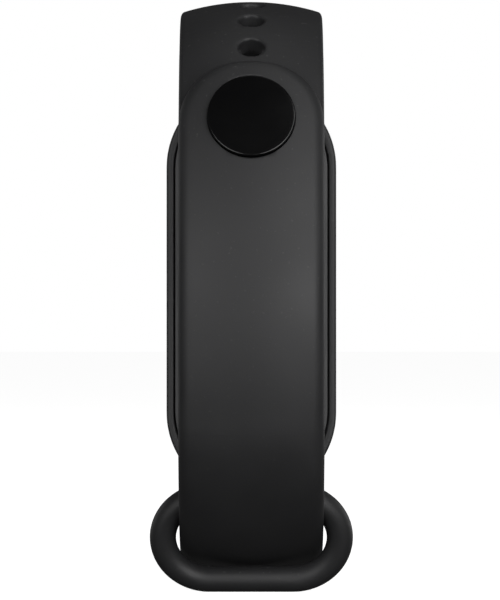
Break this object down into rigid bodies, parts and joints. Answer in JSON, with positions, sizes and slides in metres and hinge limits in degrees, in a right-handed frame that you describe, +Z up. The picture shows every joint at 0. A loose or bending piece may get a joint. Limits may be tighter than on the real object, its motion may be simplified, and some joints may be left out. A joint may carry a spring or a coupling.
{
  "type": "fitness tracker band",
  "caption": "Closed wrist band of soft rubber with a slide-in activity tracker pod, adjusting holes, a stud clasp and a keeper ring.",
  "frame": {"origin": "middle of the wrist opening, level with the middle of the pod and midway between the wrist side of the hole strap and the wrist face of the cradle", "axes": "+X across the strap, +Y from the clasp towards the pod, +Z up along the pod"},
  "size_m": [0.0226, 0.0614, 0.0664],
  "materials": {
    "strap": "satin moulded soft rubber",
    "stud": "gloss black coating",
    "shell": "fine matte moulding",
    "glass": "dark polished cover glass",
    "window": "dark red tinted window",
    "display": "dark display laminate",
    "flex": "amber flexible circuit",
    "inner": "black moulding",
    "pouch": "foil pouch",
    "board": "green solder mask",
    "chip": "moulded chip package",
    "ceramic": "fired ceramic",
    "led": "clear lamp package",
    "steel": "pressed sheet",
    "magnet": "nickel plated magnet",
    "gold": "gold plated contact",
    "copper": "enamelled copper wire"
  },
  "bodies": {
    "band": {"pod_cradle": "strap", "hole_strap": "strap", "keeper_ring": "strap", "stud_strap": "strap"},
    "strap_lower": {"strap_end_lower": "strap"},
    "strap_middle": {"strap_end_middle": "strap"},
    "strap_tip": {"strap_end_tip": "strap", "stud_cap": "stud", "stud_post": "stud"},
    "pod": {"pod_shell": "shell", "cover_glass": "glass", "touch_layer": "display", "display_panel": "display", "display_flex": "flex", "inner_frame": "inner", "battery_cell": "pouch", "battery_protection_board": "board", "main_board": "board", "processor": "chip", "memory_chip": "chip", "power_chip": "chip", "radio_antenna": "ceramic", "motion_sensor": "chip", "board_passives": "ceramic", "shield_can": "steel", "display_socket": "ceramic", "sensor_window": "window", "sensor_board": "board", "sensor_leds": "led", "photodiode": "chip", "light_barrier": "inner", "charge_contacts": "gold", "contact_springs": "gold", "charger_magnets": "magnet", "motor_base": "steel", "motor_magnet": "magnet", "motor_shaft": "steel", "motor_case": "steel"},
    "motor_rotor": {"motor_weight": "steel", "motor_coils": "copper"}
  },
  "joints": [
    {"name": "lower_flex", "type": "hinge", "parent": "band", "child": "strap_lower", "pos_m": [0, -0.02355, -0.01988], "axis": [1, 0, 0], "range_deg": [0, 12], "stiffness_Nm_per_rad": 0.03},
    {"name": "middle_flex", "type": "hinge", "parent": "strap_lower", "child": "strap_middle", "pos_m": [0, -0.02699, -0.00818], "axis": [1, 0, 0], "range_deg": [0, 12], "stiffness_Nm_per_rad": 0.03},
    {"name": "clasp_peel", "type": "hinge", "parent": "strap_middle", "child": "strap_tip", "pos_m": [0, -0.02704, 0.00602], "axis": [1, 0, 0], "range_deg": [0, 40], "stiffness_Nm_per_rad": 0.02},
    {"name": "pod_release", "type": "slide", "parent": "band", "child": "pod", "axis": [0, -1, 0], "range_m": [0, 0.014]},
    {"name": "motor_spin", "type": "hinge", "parent": "pod", "child": "motor_rotor", "pos_m": [0, 0.0249, -0.017], "axis": [0, 1, 0], "continuous": true}
  ],
  "couplings": [
    {"joint": "lower_flex", "follows": "clasp_peel", "ratio": 0.3},
    {"joint": "middle_flex", "follows": "clasp_peel", "ratio": 0.3}
  ]
}
